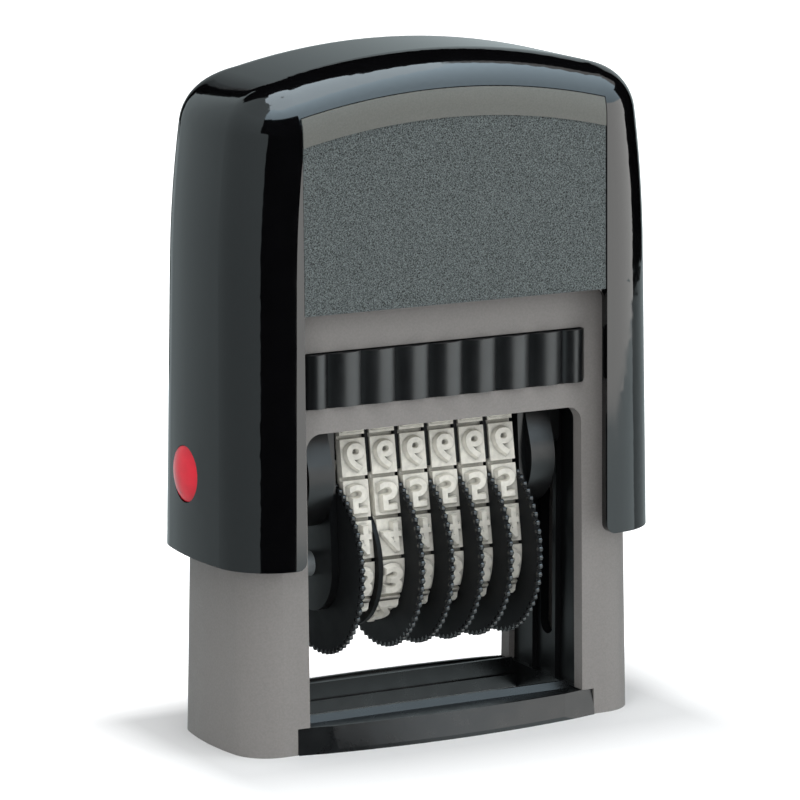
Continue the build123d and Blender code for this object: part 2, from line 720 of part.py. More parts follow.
# Number wheels: a drum inside each band and a toothed disc beside it
thumb_disc = toothed_disc()
wheels = []
for number in range(band_count):
    left_plane_x = first_plane_x + number * band_pitch
    right_plane_x = left_plane_x + band_pitch
    disc_x = right_plane_x
    drum_start_x = left_plane_x + disc_thickness / 2 + running_gap
    drum_end_x = right_plane_x
    if number < spacer_plane:
        disc_x = left_plane_x
        drum_start_x = left_plane_x
        drum_end_x = right_plane_x - disc_thickness / 2 - running_gap
    with BuildPart() as wheel:
        with BuildSketch(Plane.YZ.offset(disc_x - disc_thickness / 2)):
            with Locations((0, axle_z)):
                add(thumb_disc)
        extrude(amount=disc_thickness)
        with BuildSketch(Plane.YZ.offset(drum_start_x)):
            with Locations((0, axle_z)):
                Circle(drum_radius)
        extrude(amount=drum_end_x - drum_start_x)
        with BuildSketch(Plane.YZ.offset(left_plane_x - disc_thickness)):
            with Locations((0, axle_z)):
                Circle(axle_radius + running_gap)
        extrude(amount=band_pitch + 2 * disc_thickness, mode=Mode.SUBTRACT)
    wheel.part.label = f"wheel_{number + 1}"
    wheels.append(wheel.part)

# Ink tray with a ribbed front, hollowed from below for the pad
with BuildPart() as ink_tray:
    with BuildSketch(Plane.XY.offset(tray_bottom_z)):
        with Locations((0, (tray_rear_y + rib_valley_y) / 2)):
            Rectangle(2 * tray_half_width, tray_rear_y - rib_valley_y)
    extrude(amount=tray_top_z - tray_bottom_z)
    with BuildSketch(Plane.XY.offset(fascia_bottom_z)):
        edges_x = [(rib - rib_count / 2) * rib_pitch for rib in range(rib_count + 1)]
        edges_x = [-fascia_half_width] + edges_x + [fascia_half_width]
        with BuildLine():
            for start_x, end_x in zip(edges_x, edges_x[1:]):
                ThreePointArc((start_x, rib_valley_y), ((start_x + end_x) / 2, rib_valley_y - rib_bulge),
                              (end_x, rib_valley_y))
            fascia_back_y = rib_valley_y + fascia_thickness
            Polyline((fascia_half_width, rib_valley_y), (fascia_half_width, fascia_back_y),
                     (-fascia_half_width, fascia_back_y), (-fascia_half_width, rib_valley_y))
        make_face()
    extrude(amount=fascia_top_z - fascia_bottom_z)
    with BuildSketch(Plane.XY.offset(tray_bottom_z)):
        Rectangle(2 * (pad_half_width + seat_gap), 2 * (pad_half_depth + seat_gap))
    extrude(amount=pad_top_z - tray_bottom_z, mode=Mode.SUBTRACT)
ink_tray.part.label = "ink_tray"

with BuildPart() as ink_pad:
    with BuildSketch(Plane.XY.offset(pad_face_z)):
        Rectangle(2 * pad_half_width, 2 * pad_half_depth)
    extrude(amount=pad_top_z - pad_face_z)
ink_pad.part.label = "ink_pad"

# Lock buttons: a domed head in the cap wall and a flange behind it
with BuildPart() as button_right:
    with BuildSketch(Plane.XY.offset(button_z)):
        with BuildLine():
            dome_middle_x = button_crown_x - dome_sphere + sqrt(dome_sphere**2 - button_radius**2 / 4)
            dome = ThreePointArc((button_crown_x, button_y), (dome_middle_x, button_y + button_radius / 2),
                                 (button_rim_x, button_y + button_radius))
            Polyline(dome @ 1, (button_flange_outer_x, button_y + button_radius),
                     (button_flange_outer_x, button_y + button_flange_radius),
                     (button_flange_inner_x, button_y + button_flange_radius),
                     (button_flange_inner_x, button_y), dome @ 0)
        make_face()
    revolve(axis=Axis((0, button_y, button_z), (1, 0, 0)))
button_right.part.label = "button_right"

with BuildPart() as button_left:
    mirror(button_right.part, about=Plane.YZ)
button_left.part.label = "button_left"

# One STEP file for each piece
pieces = [
    cap_shell.part, front_panel.part, rear_panel.part, bracket.part, casing.part, base_ring.part,
    guide_left.part, guide_right.part, deck.part, return_spring.part, cheek_left.part, cheek_right.part,
    wheel_axle.part, platen.part, spacer_disc.part, ink_tray.part, ink_pad.part, button_left.part,
    button_right.part,
]
os.makedirs("parts", exist_ok=True)
for piece in pieces + bands + wheels:
    export_step(piece, f"parts/{piece.label}.step")
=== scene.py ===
from math import asin, cos, pi, radians, sin, sqrt, tan

import bpy
from mathutils import Matrix, Vector


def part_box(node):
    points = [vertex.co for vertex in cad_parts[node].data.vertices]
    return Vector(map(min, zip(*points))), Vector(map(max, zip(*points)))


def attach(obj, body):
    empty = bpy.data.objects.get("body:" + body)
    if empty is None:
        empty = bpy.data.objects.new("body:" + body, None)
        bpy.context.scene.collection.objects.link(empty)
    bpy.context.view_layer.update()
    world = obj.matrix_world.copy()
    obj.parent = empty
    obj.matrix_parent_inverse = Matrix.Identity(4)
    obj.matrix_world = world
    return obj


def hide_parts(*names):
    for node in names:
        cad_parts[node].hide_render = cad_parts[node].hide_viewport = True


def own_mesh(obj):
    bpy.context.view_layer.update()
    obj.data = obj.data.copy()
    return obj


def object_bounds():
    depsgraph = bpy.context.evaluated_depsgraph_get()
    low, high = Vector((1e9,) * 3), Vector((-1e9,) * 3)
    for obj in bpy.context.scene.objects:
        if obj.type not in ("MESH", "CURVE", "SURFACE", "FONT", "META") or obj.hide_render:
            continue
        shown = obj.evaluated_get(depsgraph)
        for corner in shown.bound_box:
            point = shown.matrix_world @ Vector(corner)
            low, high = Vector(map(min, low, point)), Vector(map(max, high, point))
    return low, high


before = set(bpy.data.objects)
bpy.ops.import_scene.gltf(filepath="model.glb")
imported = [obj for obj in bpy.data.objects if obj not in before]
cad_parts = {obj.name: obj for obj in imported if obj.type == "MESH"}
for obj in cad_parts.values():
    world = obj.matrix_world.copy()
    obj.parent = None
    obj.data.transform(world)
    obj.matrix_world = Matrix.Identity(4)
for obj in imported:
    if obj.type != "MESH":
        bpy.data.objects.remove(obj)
cad_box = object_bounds()

bl_info = {
    "name": "Self-inking numbering machine",
    "version": (1, 0, 0),
    "blender": (4, 5, 0),
    "location": "View3D > Sidebar > Numbering",
    "description": "Dresses the numbering machine: finishes, type on the bands, return spring and studio",
    "category": "Object",
}

MM = 0.001
WELD = 0.0005 * MM

# Places that the frame gives
BAND_COUNT = 6
BANDS = [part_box(f"band_{number + 1}") for number in range(BAND_COUNT)]
AXLE_Z = (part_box("wheel_axle")[0].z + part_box("wheel_axle")[1].z) / 2
BAND_TOP_Z = BANDS[0][1].z
BAND_WHEEL_RADIUS = (BANDS[0][1].y - BANDS[0][0].y) / 2
DECK_TOP_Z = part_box("return_spring")[0].z
SPRING_TOP_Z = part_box("return_spring")[1].z


class NumberingSizes(bpy.types.PropertyGroup):
    """Sizes of the pieces that this script models"""

    digit_height: bpy.props.FloatProperty(
        name="Digit height", description="Height of the type on the bands", default=4.0 * MM, unit="LENGTH")
    digit_relief: bpy.props.FloatProperty(
        name="Digit relief", description="Height of the type above its cell", default=0.7 * MM, unit="LENGTH")
    digit_width: bpy.props.FloatProperty(
        name="Digit width", description="Width of the type, flanks included", default=3.0 * MM, unit="LENGTH")
    digit_root: bpy.props.FloatProperty(
        name="Digit root", description="Depth of the type inside its cell", default=0.1 * MM, unit="LENGTH")
    glyph_weight: bpy.props.FloatProperty(
        name="Glyph weight", description="How much the strokes are thickened, as a share of the font size",
        default=0.022)
    glyph_flank: bpy.props.FloatProperty(
        name="Glyph flank", description="Run of the sloped flanks, as a share of the font size", default=0.05)
    band_corner: bpy.props.FloatProperty(
        name="Band corner", description="Radius of the band over the platen corners", default=1.6 * MM,
        unit="LENGTH")
    band_half_depth: bpy.props.FloatProperty(
        name="Band half depth", description="Half the depth of the band over the platen", default=4.2 * MM,
        unit="LENGTH")
    disc_thickness: bpy.props.FloatProperty(
        name="Disc thickness", description="Thickness of the toothed discs", default=0.6 * MM, unit="LENGTH")
    tooth_radius: bpy.props.FloatProperty(
        name="Tooth radius", description="Radius of the rounded teeth", default=0.4 * MM, unit="LENGTH")
    tooth_length: bpy.props.FloatProperty(
        name="Tooth length", description="Length of a tooth across the rim", default=0.68 * MM, unit="LENGTH")
    tooth_round: bpy.props.FloatProperty(
        name="Tooth round", description="Rounding of the ends of a tooth", default=0.16 * MM, unit="LENGTH")
    spring_wire: bpy.props.FloatProperty(
        name="Spring wire", description="Thickness of the spring wire", default=0.8 * MM, unit="LENGTH")
    spring_turns: bpy.props.FloatProperty(
        name="Spring turns", description="Number of turns of the return spring", default=5.5)
    camera_lens: bpy.props.FloatProperty(
        name="Camera lens", description="Focal length of the camera in millimetres", default=223.6)


class NumberingColours(bpy.types.PropertyGroup):
    """Colours of the finishes"""

    cap: bpy.props.FloatVectorProperty(
        name="Cap", description="Glossy black of the cap", subtype="COLOR", size=3,
        default=(0.0022, 0.0022, 0.0026))
    panel: bpy.props.FloatVectorProperty(
        name="Panel", description="Slate grey of the textured panel", subtype="COLOR", size=3,
        default=(0.079, 0.0915, 0.0915))
    strip: bpy.props.FloatVectorProperty(
        name="Strip", description="Smooth strip over the panel", subtype="COLOR", size=3,
        default=(0.134, 0.138, 0.127))
    casing: bpy.props.FloatVectorProperty(
        name="Casing", description="Warm grey of the casing", subtype="COLOR", size=3,
        default=(0.248, 0.237, 0.228))
    inner: bpy.props.FloatVectorProperty(
        name="Inner parts", description="Black of the inner parts", subtype="COLOR", size=3,
        default=(0.006, 0.0065, 0.007))
    disc: bpy.props.FloatVectorProperty(
        name="Discs", description="Dull black of the toothed discs", subtype="COLOR", size=3,
        default=(0.014, 0.015, 0.016))
    rubber: bpy.props.FloatVectorProperty(
        name="Bands", description="Cream rubber of the bands", subtype="COLOR", size=3,
        default=(0.800, 0.780, 0.700))
    button: bpy.props.FloatVectorProperty(
        name="Button", description="Red of the lock buttons", subtype="COLOR", size=3,
        default=(0.800, 0.022, 0.045))
    axle: bpy.props.FloatVectorProperty(
        name="Axle", description="Light grey of the wheel axle", subtype="COLOR", size=3,
        default=(0.390, 0.430, 0.440))
    steel: bpy.props.FloatVectorProperty(
        name="Spring steel", description="Steel of the return spring", subtype="COLOR", size=3,
        default=(0.550, 0.550, 0.560))
    felt: bpy.props.FloatVectorProperty(
        name="Felt", description="Inked felt of the pad", subtype="COLOR", size=3,
        default=(0.012, 0.012, 0.022))
    floor: bpy.props.FloatVectorProperty(
        name="Floor", description="Pale studio floor", subtype="COLOR", size=3,
        default=(0.800, 0.800, 0.800))


def sizes():
    """The sizes kept on the scene."""
    return bpy.context.scene.numbering_sizes


def colours():
    """The colours kept on the scene."""
    return bpy.context.scene.numbering_colours


class Finish:
    """A material under construction: its tree, its shader and the object's own coordinates."""

    lattice_turn = (0.6, 0.4, 0.3)
    noise_low = 0.3
    noise_high = 0.7
    least_roughness = 0.02
    # Samples and occlusion range of the painted shade in recesses
    recess_samples = 8
    recess_closed = 0.35
    recess_open = 0.95

    def __init__(self, name, colour, roughness):
        self.material = bpy.data.materials.new(name)
        self.material.use_nodes = True
        self.tree = self.material.node_tree
        self.shader = self.tree.nodes["Principled BSDF"]
        self.shader.inputs["Base Color"].default_value = (*colour, 1)
        self.shader.inputs["Roughness"].default_value = roughness
        self.colour = colour
        self.roughness = roughness
        self.place = self.tree.nodes.new("ShaderNodeTexCoord").outputs["Object"]
        self.normal = None

    def noise(self, size, detail=2.0, stretch=(1, 1, 1)):
        """Noise whose grains are about the given size, turned so that no flat side runs along its lattice."""
        mapping = self.tree.nodes.new("ShaderNodeMapping")
        mapping.inputs["Rotation"].default_value = self.lattice_turn
        mapping.inputs["Scale"].default_value = Vector(stretch)
        self.tree.links.new(self.place, mapping.inputs["Vector"])
        node = self.tree.nodes.new("ShaderNodeTexNoise")
        node.inputs["Scale"].default_value = 1 / size
        node.inputs["Detail"].default_value = detail
        self.tree.links.new(mapping.outputs["Vector"], node.inputs["Vector"])
        return node.outputs["Fac"]

    def remap(self, value, low, high, to_low, to_high):
        """Value carried from one range to another."""
        node = self.tree.nodes.new("ShaderNodeMapRange")
        node.inputs["From Min"].default_value = low
        node.inputs["From Max"].default_value = high
        node.inputs["To Min"].default_value = to_low
        node.inputs["To Max"].default_value = to_high
        self.tree.links.new(value, node.inputs["Value"])
        return node.outputs["Result"]

    def bump(self, height, distance):
        """Relief of the given depth, on top of what is there."""
        node = self.tree.nodes.new("ShaderNodeBump")
        node.inputs["Distance"].default_value = distance
        self.tree.links.new(height, node.inputs["Height"])
        if self.normal:
            self.tree.links.new(self.normal, node.inputs["Normal"])
        self.normal = node.outputs["Normal"]
        self.tree.links.new(self.normal, self.shader.inputs["Normal"])

    def vary_roughness(self, value, spread):
        """Roughness that wanders about its middle value."""
        smoothest = max(self.roughness - spread, self.least_roughness)
        result = self.remap(value, self.noise_low, self.noise_high, smoothest, self.roughness + spread)
        self.tree.links.new(result, self.shader.inputs["Roughness"])

    def paint_recess_shade(self, reach, floor):
        """Painted shade: colour that darkens towards the given share in corners and grooves, wherever ambient
        occlusion finds them closed in.
        """
        closeness = self.tree.nodes.new("ShaderNodeAmbientOcclusion")
        closeness.inputs["Distance"].default_value = reach
        closeness.samples = self.recess_samples
        mix = self.tree.nodes.new("ShaderNodeMix")
        mix.data_type = "RGBA"
        mix.blend_type = "MULTIPLY"
        mix.inputs["Factor"].default_value = 1
        self.tree.links.new(self.shader.inputs["Base Color"].links[0].from_socket, mix.inputs["A"])
        grey = self.remap(closeness.outputs["AO"], self.recess_closed, self.recess_open, floor, 1)
        self.tree.links.new(grey, mix.inputs["B"])
        self.tree.links.new(mix.outputs["Result"], self.shader.inputs["Base Color"])

    def vary_colour(self, value, darker, lighter, low=0.35, high=0.65):
        """Colour that wanders between a darker and a lighter tone."""
        mix = self.tree.nodes.new("ShaderNodeMix")
        mix.data_type = "RGBA"
        mix.inputs["A"].default_value = (*[c * darker for c in self.colour], 1)
        mix.inputs["B"].default_value = (*[min(c * lighter, 1) for c in self.colour], 1)
        self.tree.links.new(self.remap(value, low, high, 0, 1), mix.inputs["Factor"])
        self.tree.links.new(mix.outputs["Result"], self.shader.inputs["Base Color"])


def matte_black(name, colour, sheen=0.12):
    """Black plastic with hardly any shine."""
    return grained_plastic(name, colour, roughness=0.5, grain=0.3 * MM, depth=0.004 * MM, sheen=sheen)


def gloss_plastic(name, colour, roughness, sheen=0.5):
    """Polished moulded plastic with a faint ripple and handling marks."""
    finish = Finish(name, colour, roughness)
    finish.shader.inputs["Specular IOR Level"].default_value = sheen
    finish.vary_roughness(finish.noise(size=6 * MM, detail=4), spread=roughness * 0.35)
    finish.vary_colour(finish.noise(size=3 * MM), darker=0.9, lighter=1.1)
    finish.bump(finish.noise(size=9 * MM, detail=1), distance=0.004 * MM)
    return finish.material


def grained_plastic(name, colour, roughness, grain, depth, mottle=0.06, sheen=0.5):
    """Moulded plastic with a spark-eroded grain."""
    finish = Finish(name, colour, roughness)
    finish.shader.inputs["Specular IOR Level"].default_value = sheen
    speckle = finish.noise(size=grain, detail=3)
    finish.vary_colour(speckle, darker=1 - mottle, lighter=1 + mottle)
    finish.vary_roughness(finish.noise(size=2.5 * MM, detail=3), spread=0.05)
    finish.bump(speckle, distance=depth)
    return finish.material


def slate_panel(name, colour):
    """Coarse pebbled grain with bright and dark specks."""
    finish = Finish(name, colour, roughness=0.5)
    finish.shader.inputs["Specular IOR Level"].default_value = 0.15
    pebble = finish.noise(size=0.15 * MM, detail=1)
    finish.vary_colour(pebble, darker=0.10, lighter=1.95, low=0.30, high=0.70)
    finish.vary_roughness(finish.noise(size=0.5 * MM, detail=2), spread=0.08)
    finish.bump(pebble, distance=0.05 * MM)
    return finish.material


def cast_rubber(name, colour):
    """Moulded rubber with a soft bloom and faint smudges, and painted shade round the type and in its
    grooves.
    """
    finish = Finish(name, colour, roughness=0.62)
    finish.vary_colour(finish.noise(size=0.9 * MM, detail=4), darker=0.86, lighter=1.05)
    # Painted shade: the colour darkens where the type meets its cell and in the grooves
    finish.paint_recess_shade(reach=0.5 * MM, floor=0.30)
    finish.vary_roughness(finish.noise(size=0.5 * MM, detail=2), spread=0.08)
    finish.bump(finish.noise(size=0.25 * MM, detail=3), distance=0.012 * MM)
    return finish.material


def drawn_steel(name, colour):
    """Drawn wire with fine marks."""
    finish = Finish(name, colour, roughness=0.3)
    finish.shader.inputs["Metallic"].default_value = 1.0
    finish.vary_roughness(finish.noise(size=0.4 * MM, detail=3), spread=0.08)
    finish.bump(finish.noise(size=0.1 * MM, detail=2), distance=0.003 * MM)
    return finish.material


def pressed_felt(name, colour):
    """Felt soaked with ink."""
    finish = Finish(name, colour, roughness=0.8)
    fibre = finish.noise(size=0.3 * MM, detail=5, stretch=(1, 1, 0.4))
    finish.vary_colour(fibre, darker=0.7, lighter=1.3)
    finish.bump(fibre, distance=0.08 * MM)
    return finish.material


def paint(nodes, *materials):
    """Gives CAD nodes their materials, with the first one on every face."""
    for node in nodes:
        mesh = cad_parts[node].data
        mesh.materials.clear()
        for material in materials:
            mesh.materials.append(material)
        for polygon in mesh.polygons:
            polygon.material_index = 0


def clear_selection():
    """Leaves edit mode and selects nothing."""
    if bpy.context.object and bpy.context.object.mode != "OBJECT":
        bpy.ops.object.mode_set(mode="OBJECT")
    bpy.ops.object.select_all(action="DESELECT")


def select_only(obj):
    """Makes this the one selected object."""
    clear_selection()
    obj.select_set(True)
    bpy.context.view_layer.objects.active = obj


def settle(obj):
    """Puts an object's place into its mesh."""
    select_only(obj)
    bpy.ops.object.transform_apply(location=True, rotation=True, scale=True)


def copy_to(obj, matrix):
    """A copy of an object with its own mesh, carried to another place."""
    copy = obj.copy()
    copy.data = obj.data.copy()
    bpy.context.collection.objects.link(copy)
    copy.data.transform(matrix)
    return copy


def join(pieces, name):
    """One named object made of several."""
    select_only(pieces[0])
    for piece in pieces:
        piece.select_set(True)
    bpy.ops.object.join()
    joined = bpy.context.object
    joined.name = name
    return joined


def recalculate(obj):
    """Merges doubles and turns the faces outwards."""
    select_only(obj)
    bpy.ops.object.mode_set(mode="EDIT")
    bpy.ops.mesh.select_all(action="SELECT")
    bpy.ops.mesh.remove_doubles(threshold=WELD)
    bpy.ops.mesh.normals_make_consistent(inside=False)
    bpy.ops.object.mode_set(mode="OBJECT")


def smooth(obj, angle):
    """Smooth shading up to the given angle."""
    select_only(obj)
    bpy.ops.object.shade_smooth_by_angle(angle=angle)


class NUMBERING_OT_cap(bpy.types.Operator):
    """Finish the cap shell, its panels and the bracket inside"""

    bl_idname = "numbering.cap"
    bl_label = "Cap"

    field_radius = 90.0 * MM
    field_apex = 78.36 * MM
    edge_allowance = 0.05 * MM

    def execute(self, context):
        tone = colours()
        cap = gloss_plastic("cap gloss", tone.cap, roughness=0.06)
        inner = grained_plastic("inner black", tone.inner, roughness=0.38, grain=0.3 * MM, depth=0.004 * MM)
        field = slate_panel("panel grain", tone.panel)
        strip = grained_plastic("panel strip", tone.strip, roughness=0.42, grain=0.2 * MM, depth=0.003 * MM,
                                sheen=0.15)
        paint(["cap_shell"], cap)
        paint(["bracket"], inner)
        for node, side in (("front_panel", -1), ("rear_panel", 1)):
            paint([node], field, strip)
            self.mark_strip(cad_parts[node].data, side)
        return {"FINISHED"}

    def mark_strip(self, mesh, side):
        """The proud strip over the field gets the second material."""
        for polygon in mesh.polygons:
            corners = [mesh.vertices[v].co for v in polygon.vertices]
            below = max(self.field_edge(v.x) - v.z for v in corners)
            if below < self.edge_allowance and polygon.normal.y * side > 0:
                polygon.material_index = 1

    def field_edge(self, x):
        """Height of the top of the textured field."""
        return self.field_apex - self.field_radius + sqrt(self.field_radius**2 - x**2)


class NUMBERING_OT_casing(bpy.types.Operator):
    """Finish the casing, the base ring, the guides and the deck"""

    bl_idname = "numbering.casing"
    bl_label = "Casing"

    def execute(self, context):
        tone = colours()
        grey = grained_plastic("casing grey", tone.casing, roughness=0.48, grain=0.25 * MM, depth=0.006 * MM,
                               mottle=0.05, sheen=0.15)
        black = grained_plastic("base black", tone.inner, roughness=0.30, grain=0.3 * MM, depth=0.003 * MM,
                                sheen=0.37)
        dull = grained_plastic("guide black", tone.inner, roughness=0.34, grain=0.3 * MM, depth=0.003 * MM,
                               sheen=0.2)
        paint(["casing", "deck"], grey)
        paint(["base_ring"], black)
        paint(["guide_left", "guide_right"], dull)
        return {"FINISHED"}


class NUMBERING_OT_carrier(bpy.types.Operator):
    """Finish the cheeks, the platen, the spacer and the axle"""

    bl_idname = "numbering.carrier"
    bl_label = "Carrier"

    def execute(self, context):
        tone = colours()
        cheek = grained_plastic("cheek black", tone.inner, roughness=0.34, grain=0.3 * MM, depth=0.003 * MM,
                                sheen=0.43)
        axle = grained_plastic("axle grey", tone.axle, roughness=0.40, grain=0.3 * MM, depth=0.003 * MM)
        paint(["cheek_left", "cheek_right"], cheek)
        paint(["platen", "spacer_disc"], matte_black("platen black", tone.inner))
        paint(["wheel_axle"], axle)
        return {"FINISHED"}


class NUMBERING_OT_wheels(bpy.types.Operator):
    """Finish the thumb wheels and model the rounded teeth on their rims"""

    bl_idname = "numbering.wheels"
    bl_label = "Thumb wheels"

    tooth_count = 64
    tooth_sides = 10
    end_angle = radians(60)
    smooth_angle = radians(40)

    def execute(self, context):
        disc_black = matte_black("disc black", colours().disc, sheen=0.08)
        tooth_black = grained_plastic("tooth black", colours().inner, roughness=0.16, grain=0.2 * MM,
                                      depth=0.001 * MM)
        for number in range(BAND_COUNT):
            node = f"wheel_{number + 1}"
            paint([node], disc_black)
            tooth = self.model_tooth(self.disc_plane(number))
            teeth = [tooth] + [copy_to(tooth, self.turn(step)) for step in range(1, self.tooth_count)]
            rim = join(teeth, f"teeth_{number + 1}")
            rim.data.materials.append(tooth_black)
            smooth(rim, self.smooth_angle)
            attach(rim, f"number_wheel_{number + 1}")
        return {"FINISHED"}

    def disc_plane(self, number):
        """Middle of the toothed disc: the left end of the first wheel, the right end of all others."""
        low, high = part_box(f"wheel_{number + 1}")
        half = sizes().disc_thickness / 2
        return low.x + half if number == 0 else high.x - half

    def model_tooth(self, plane_x):
        """One tooth at the top of the wheel: a short rod with rounded ends, lying across the rim."""
        size = sizes()
        wheel_radius = (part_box("wheel_1")[1].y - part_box("wheel_1")[0].y) / 2
        clear_selection()
        bpy.ops.mesh.primitive_cylinder_add(vertices=self.tooth_sides, radius=size.tooth_radius,
                                            depth=size.tooth_length, rotation=(0, pi / 2, 0),
                                            location=(plane_x, 0, AXLE_Z + wheel_radius - size.tooth_radius))
        tooth = bpy.context.object
        settle(tooth)
        rounding = tooth.modifiers.new("rounded ends", "BEVEL")
        rounding.width = size.tooth_round
        rounding.segments = 1
        rounding.limit_method = "ANGLE"
        rounding.angle_limit = self.end_angle
        bpy.ops.object.modifier_apply(modifier=rounding.name)
        return tooth

    def turn(self, step):
        """Some steps round the axle, from one tooth to another."""
        axle = Matrix.Translation((0, 0, AXLE_Z))
        return axle @ Matrix.Rotation(2 * pi * step / self.tooth_count, 4, "X") @ axle.inverted()


class NUMBERING_OT_bands(bpy.types.Operator):
    """Model the raised type on the number bands"""

    bl_idname = "numbering.bands"
    bl_label = "Number bands"

    cell_count = 14
    glyphs = ("8", "7", "6", "5", "4", "3", "2", "1", "0", "-", "/", ".", "", "9")
    curve_steps = 4
    most_stretch = 1.25
    smooth_angle = radians(30)

    def execute(self, context):
        rubber = cast_rubber("band rubber", colours().rubber)
        masters = {glyph: self.model_glyph(glyph) for glyph in sorted(set(self.glyphs)) if glyph}
        for number, (low, high) in enumerate(BANDS):
            paint([f"band_{number + 1}"], rubber)
            pieces = []
            for cell, glyph in enumerate(self.glyphs):
                if glyph:
                    pieces.append(copy_to(masters[glyph], self.place((low.x + high.x) / 2, cell)))
            type_piece = join(pieces, f"type_{number + 1}")
            type_piece.data.materials.clear()
            type_piece.data.materials.append(rubber)
            settle(type_piece)
            recalculate(type_piece)
            smooth(type_piece, self.smooth_angle)
            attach(type_piece, "carrier")
        for master in masters.values():
            bpy.data.objects.remove(master)
        return {"FINISHED"}

    def model_glyph(self, glyph):
        """One character, mirrored as type is, lying in X and Y with its face up and sloped flanks."""
        clear_selection()
        size = sizes()
        bpy.ops.object.text_add(location=(0, 0, 0))
        text = bpy.context.object
        text.data.body = glyph
        text.data.align_x = "CENTER"
        text.data.align_y = "CENTER"
        text.data.resolution_u = self.curve_steps
        text.data.offset = size.glyph_weight
        text.data.bevel_depth = size.glyph_flank
        text.data.bevel_resolution = 0
        bpy.ops.object.convert(target="MESH")
        mesh = bpy.context.object
        low = Vector([min(v.co[axis] for v in mesh.data.vertices) for axis in range(3)])
        high = Vector([max(v.co[axis] for v in mesh.data.vertices) for axis in range(3)])
        grow_y = size.digit_height / (high.y - low.y)
        grow_x = grow_y
        if glyph in "0123456789":
            grow_x = min(size.digit_width / (high.x - low.x), self.most_stretch * grow_y)
        middle = (low + high) / 2
        for vertex in mesh.data.vertices:
            vertex.co.x = (vertex.co.x - middle.x) * grow_x
            vertex.co.y = (middle.y - vertex.co.y) * grow_y
            rise = size.digit_relief if vertex.co.z > 0 else size.digit_root
            vertex.co.z = vertex.co.z / high.z * rise
        mesh.data.flip_normals()
        return mesh

    def place(self, band_x, cell):
        """Place and lean of a cell on a band."""
        y, z, lean = self.run(cell * self.length() / self.cell_count)
        return Matrix.Translation((band_x, y, z)) @ Matrix.Rotation(lean, 4, "X")

    def shape(self):
        """Middle of the bend over a platen corner, and the lean and length of the straight run below it."""
        size = sizes()
        corner_y = size.band_half_depth - size.band_corner
        corner_z = BAND_TOP_Z - size.band_corner
        span = sqrt(corner_y**2 + (corner_z - AXLE_Z)**2)
        slope = asin((BAND_WHEEL_RADIUS - size.band_corner) / span) - asin(corner_y / span)
        straight = sqrt(span**2 - (BAND_WHEEL_RADIUS - size.band_corner)**2)
        return corner_y, corner_z, slope, straight

    def length(self):
        """Length once round the outside of a band."""
        corner_y, corner_z, slope, straight = self.shape()
        bend = sizes().band_corner * (pi / 2 - slope)
        return 2 * (corner_y + bend + straight + BAND_WHEEL_RADIUS * (pi / 2 + slope))

    def run(self, distance):
        """Place and lean on the outside of the band, at a distance round it from the middle of the type."""
        corner_y, corner_z, slope, straight = self.shape()
        corner = sizes().band_corner
        turn = pi / 2 - slope
        bend = corner * turn
        if distance > self.length() / 2:
            y, z, lean = self.run(self.length() - distance)
            return -y, z, -lean
        if distance < corner_y:
            return -distance, BAND_TOP_Z, 0.0
        if distance < corner_y + bend:
            angle = (distance - corner_y) / corner
            return -corner_y - corner * sin(angle), corner_z + corner * cos(angle), angle
        if distance < corner_y + bend + straight:
            along = distance - corner_y - bend
            y = corner_y + corner * sin(turn) + along * cos(turn)
            z = corner_z + corner * cos(turn) - along * sin(turn)
            return -y, z, turn
        angle = turn + (distance - corner_y - bend - straight) / BAND_WHEEL_RADIUS
        return -BAND_WHEEL_RADIUS * sin(angle), AXLE_Z + BAND_WHEEL_RADIUS * cos(angle), angle


class NUMBERING_OT_cartridge(bpy.types.Operator):
    """Finish the ink tray and its pad"""

    bl_idname = "numbering.cartridge"
    bl_label = "Ink cartridge"

    def execute(self, context):
        tone = colours()
        tray = grained_plastic("tray black", tone.inner, roughness=0.34, grain=0.3 * MM, depth=0.004 * MM)
        paint(["ink_tray"], tray)
        paint(["ink_pad"], pressed_felt("ink felt", tone.felt))
        return {"FINISHED"}


class NUMBERING_OT_spring(bpy.types.Operator):
    """Model the return spring from round wire"""

    bl_idname = "numbering.spring"
    bl_label = "Return spring"

    wire_sides = 10
    turn_steps = 32
    smooth_angle = radians(40)

    def execute(self, context):
        size = sizes()
        clear_selection()
        wire = size.spring_wire / 2
        low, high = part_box("return_spring")
        radius = (high.x - low.x) / 2 - wire
        steps = int(self.turn_steps * size.spring_turns)
        length = SPRING_TOP_Z - DECK_TOP_Z
        bpy.ops.mesh.primitive_circle_add(vertices=self.wire_sides, radius=wire, rotation=(pi / 2, 0, 0),
                                          location=(radius, 0, DECK_TOP_Z + wire), fill_type="NOTHING")
        spring = bpy.context.object
        settle(spring)
        bpy.ops.object.mode_set(mode="EDIT")
        bpy.ops.mesh.select_all(action="SELECT")
        bpy.ops.mesh.spin(steps=steps, dupli=False, angle=2 * pi * size.spring_turns, center=(0, 0, 0),
                          axis=(0, 0, 1))
        bpy.ops.object.mode_set(mode="OBJECT")
        self.climb(spring.data, steps, length - 2 * wire)
        recalculate(spring)
        spring.name = "coil_spring"
        spring.data.materials.append(drawn_steel("spring steel", colours().steel))
        smooth(spring, self.smooth_angle)
        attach(spring, "body")
        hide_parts("return_spring")
        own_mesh(spring)
        return {"FINISHED"}

    def climb(self, mesh, steps, rise):
        """Lifts each ring of the spun wire to its height."""
        for index, vertex in enumerate(mesh.vertices):
            vertex.co.z += rise * (index // self.wire_sides) / steps


class NUMBERING_OT_buttons(bpy.types.Operator):
    """Finish the lock buttons"""

    bl_idname = "numbering.buttons"
    bl_label = "Lock buttons"

    def execute(self, context):
        red = gloss_plastic("button red", colours().button, roughness=0.16, sheen=0.25)
        paint(["button_left", "button_right"], red)
        return {"FINISHED"}


